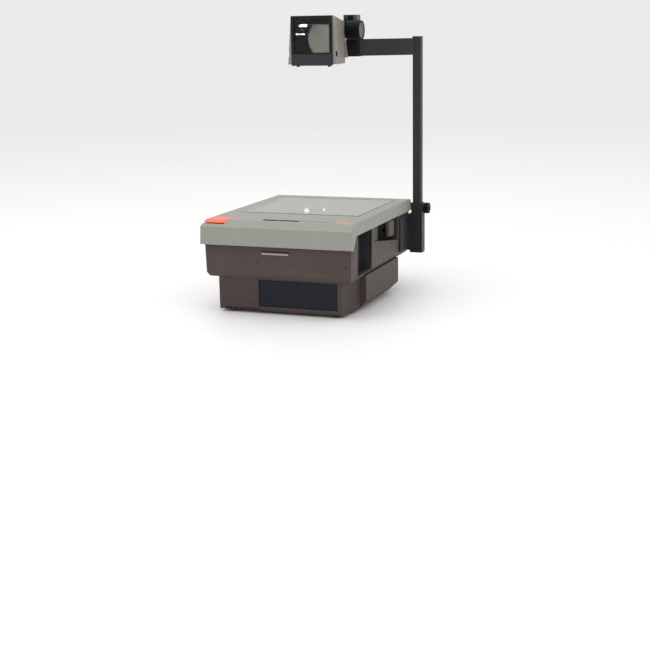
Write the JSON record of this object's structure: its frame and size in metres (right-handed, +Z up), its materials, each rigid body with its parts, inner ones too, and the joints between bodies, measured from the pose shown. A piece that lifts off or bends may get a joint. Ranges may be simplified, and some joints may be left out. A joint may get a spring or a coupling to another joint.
{
  "type": "overhead projector",
  "caption": "Overhead projector with a lift-up glass stage on a stepped base and a closed mirror head on a post, arm and focusing column.",
  "frame": {"origin": "middle of the whole object's footprint, on the table", "axes": "+Z up, -Y towards the user who stands at the fascia, +X to the side of the post"},
  "size_m": [0.402, 0.452, 0.646],
  "materials": {
    "casing_grey": "fine-textured grey-green moulded plastic",
    "casing_brown": "fine-textured dark brown-grey moulded plastic",
    "door_plastic": "fine-textured blue-black moulded plastic",
    "black_plastic": "black moulded plastic",
    "knob_plastic": "black moulded plastic with a fine sheen",
    "orange_plastic": "smooth orange-red moulded plastic",
    "label_pink": "printed plastic film",
    "lever_plastic": "grey-brown moulded plastic",
    "latch_plastic": "pale pinkish-grey moulded plastic",
    "head_casing": "beige-grey semi-matt paint",
    "black_paint": "satin charcoal paint",
    "grey_plastic": "mid-grey moulded plastic",
    "rack_plastic": "dark grey nylon",
    "foot_rubber": "black rubber",
    "bare_steel": "bright zinc-plated steel",
    "bright_aluminium": "polished aluminium",
    "transformer_iron": "varnished iron laminations",
    "clear_glass": "clear polished glass",
    "fresnel_acrylic": "acrylic sheet with fine concentric grooves",
    "front_mirror": "front-silvered glass",
    "socket_ceramic": "white steatite ceramic"
  },
  "bodies": {
    "base": {"base_pan": "casing_brown", "upper_housing": "casing_brown", "rubber_feet": "foot_rubber", "base_screws": "bare_steel", "grip_liner": "black_plastic", "rear_grille": "black_plastic", "power_inlet": "black_plastic", "heat_shield": "bare_steel", "transformer": "transformer_iron", "fan_frame": "black_plastic", "optics_bracket": "bare_steel", "reflector": "bright_aluminium", "condenser_lens": "clear_glass", "thermal_cutout": "bare_steel", "lever_bezel": "black_plastic", "door_hinge_pins": "bare_steel", "hinge_brackets": "black_paint", "hinge_pins": "bare_steel", "post_bracket": "black_paint", "bracket_screws": "bare_steel"},
    "fan": {"fan_rotor": "black_plastic"},
    "lamp_changer": {"lamp_carriage": "bare_steel", "lamp_sockets": "socket_ceramic", "lamps": "clear_glass", "lamp_changer_lever": "lever_plastic"},
    "door": {"front_door": "door_plastic"},
    "latch": {"stage_latch": "latch_plastic", "latch_spring": "bare_steel"},
    "stage": {"stage_cover": "casing_grey", "hinge_leaves": "black_paint", "stage_glass": "clear_glass", "fresnel_lens": "fresnel_acrylic", "glass_retainer": "bare_steel", "power_switch": "black_plastic", "slot_liner": "black_plastic", "label_plate": "label_pink", "trim_strip": "black_plastic"},
    "power_button": {"power_bar": "orange_plastic"},
    "colour_slider": {"colour_lever": "black_plastic"},
    "post": {"post_tube": "black_paint", "post_cap": "black_plastic", "arm_bar": "black_paint", "arm_end_block": "black_paint", "column": "black_paint", "focus_rack": "rack_plastic", "rack_stop": "grey_plastic"},
    "clamp_knob": {"post_clamp_knob": "knob_plastic"},
    "focus_carriage": {"carriage": "black_paint"},
    "focus_shaft": {"pinion_shaft": "bare_steel", "focus_knob": "knob_plastic", "knob_cap": "grey_plastic"},
    "head": {"head_bracket": "black_paint", "head_shell": "head_casing", "window_frame": "black_plastic", "window_glass": "clear_glass", "window_feet": "black_plastic", "head_mirror": "front_mirror", "lens_ring": "black_plastic", "objective_lens": "clear_glass", "head_screws": "bare_steel"}
  },
  "joints": [
    {"name": "fan_spin", "type": "hinge", "parent": "base", "child": "fan", "pos_m": [-0.111, 0.186, 0.133], "axis": [0, 1, 0], "continuous": true},
    {"name": "lamp_change", "type": "slide", "parent": "base", "child": "lamp_changer", "axis": [0, -1, 0], "range_m": [0, 0.036]},
    {"name": "door_swing", "type": "hinge", "parent": "base", "child": "door", "pos_m": [0.022, -0.2025, 0.02], "axis": [1, 0, 0], "range_deg": [0, 75]},
    {"name": "latch_press", "type": "slide", "parent": "base", "child": "latch", "axis": [0, 1, 0], "range_m": [0, 0.005], "stiffness_N_per_m": 400, "deforming": ["latch_spring"]},
    {"name": "stage_lift", "type": "hinge", "parent": "base", "child": "stage", "pos_m": [-0.021, 0.211, 0.178], "axis": [-1, 0, 0], "range_deg": [0, 45]},
    {"name": "power_press", "type": "slide", "parent": "stage", "child": "power_button", "axis": [0, 0, -1], "range_m": [0, 0.002], "stiffness_N_per_m": 600},
    {"name": "colour_slide", "type": "slide", "parent": "stage", "child": "colour_slider", "axis": [1, 0, 0], "range_m": [-0.028, 0.028]},
    {"name": "post_height", "type": "slide", "parent": "base", "child": "post", "axis": [0, 0, 1], "range_m": [0, 0.06]},
    {"name": "clamp_turn", "type": "hinge", "parent": "base", "child": "clamp_knob", "pos_m": [0.195, 0.213, 0.188], "axis": [1, 0, 0], "range_deg": [0, 180]},
    {"name": "head_focus", "type": "slide", "parent": "post", "child": "focus_carriage", "axis": [0, 0, 1], "range_m": [0, 0.028]},
    {"name": "focus_turn", "type": "hinge", "parent": "focus_carriage", "child": "focus_shaft", "pos_m": [0.055, 0.102, 0.611], "axis": [-1, 0, 0], "range_deg": [0, 202]},
    {"name": "head_tilt", "type": "hinge", "parent": "focus_carriage", "child": "head", "pos_m": [0.023, 0.102, 0.611], "axis": [-1, 0, 0], "range_deg": [-5, 15]}
  ],
  "couplings": [
    {"joint": "focus_turn", "follows": "head_focus", "rad_per_m": 125}
  ]
}
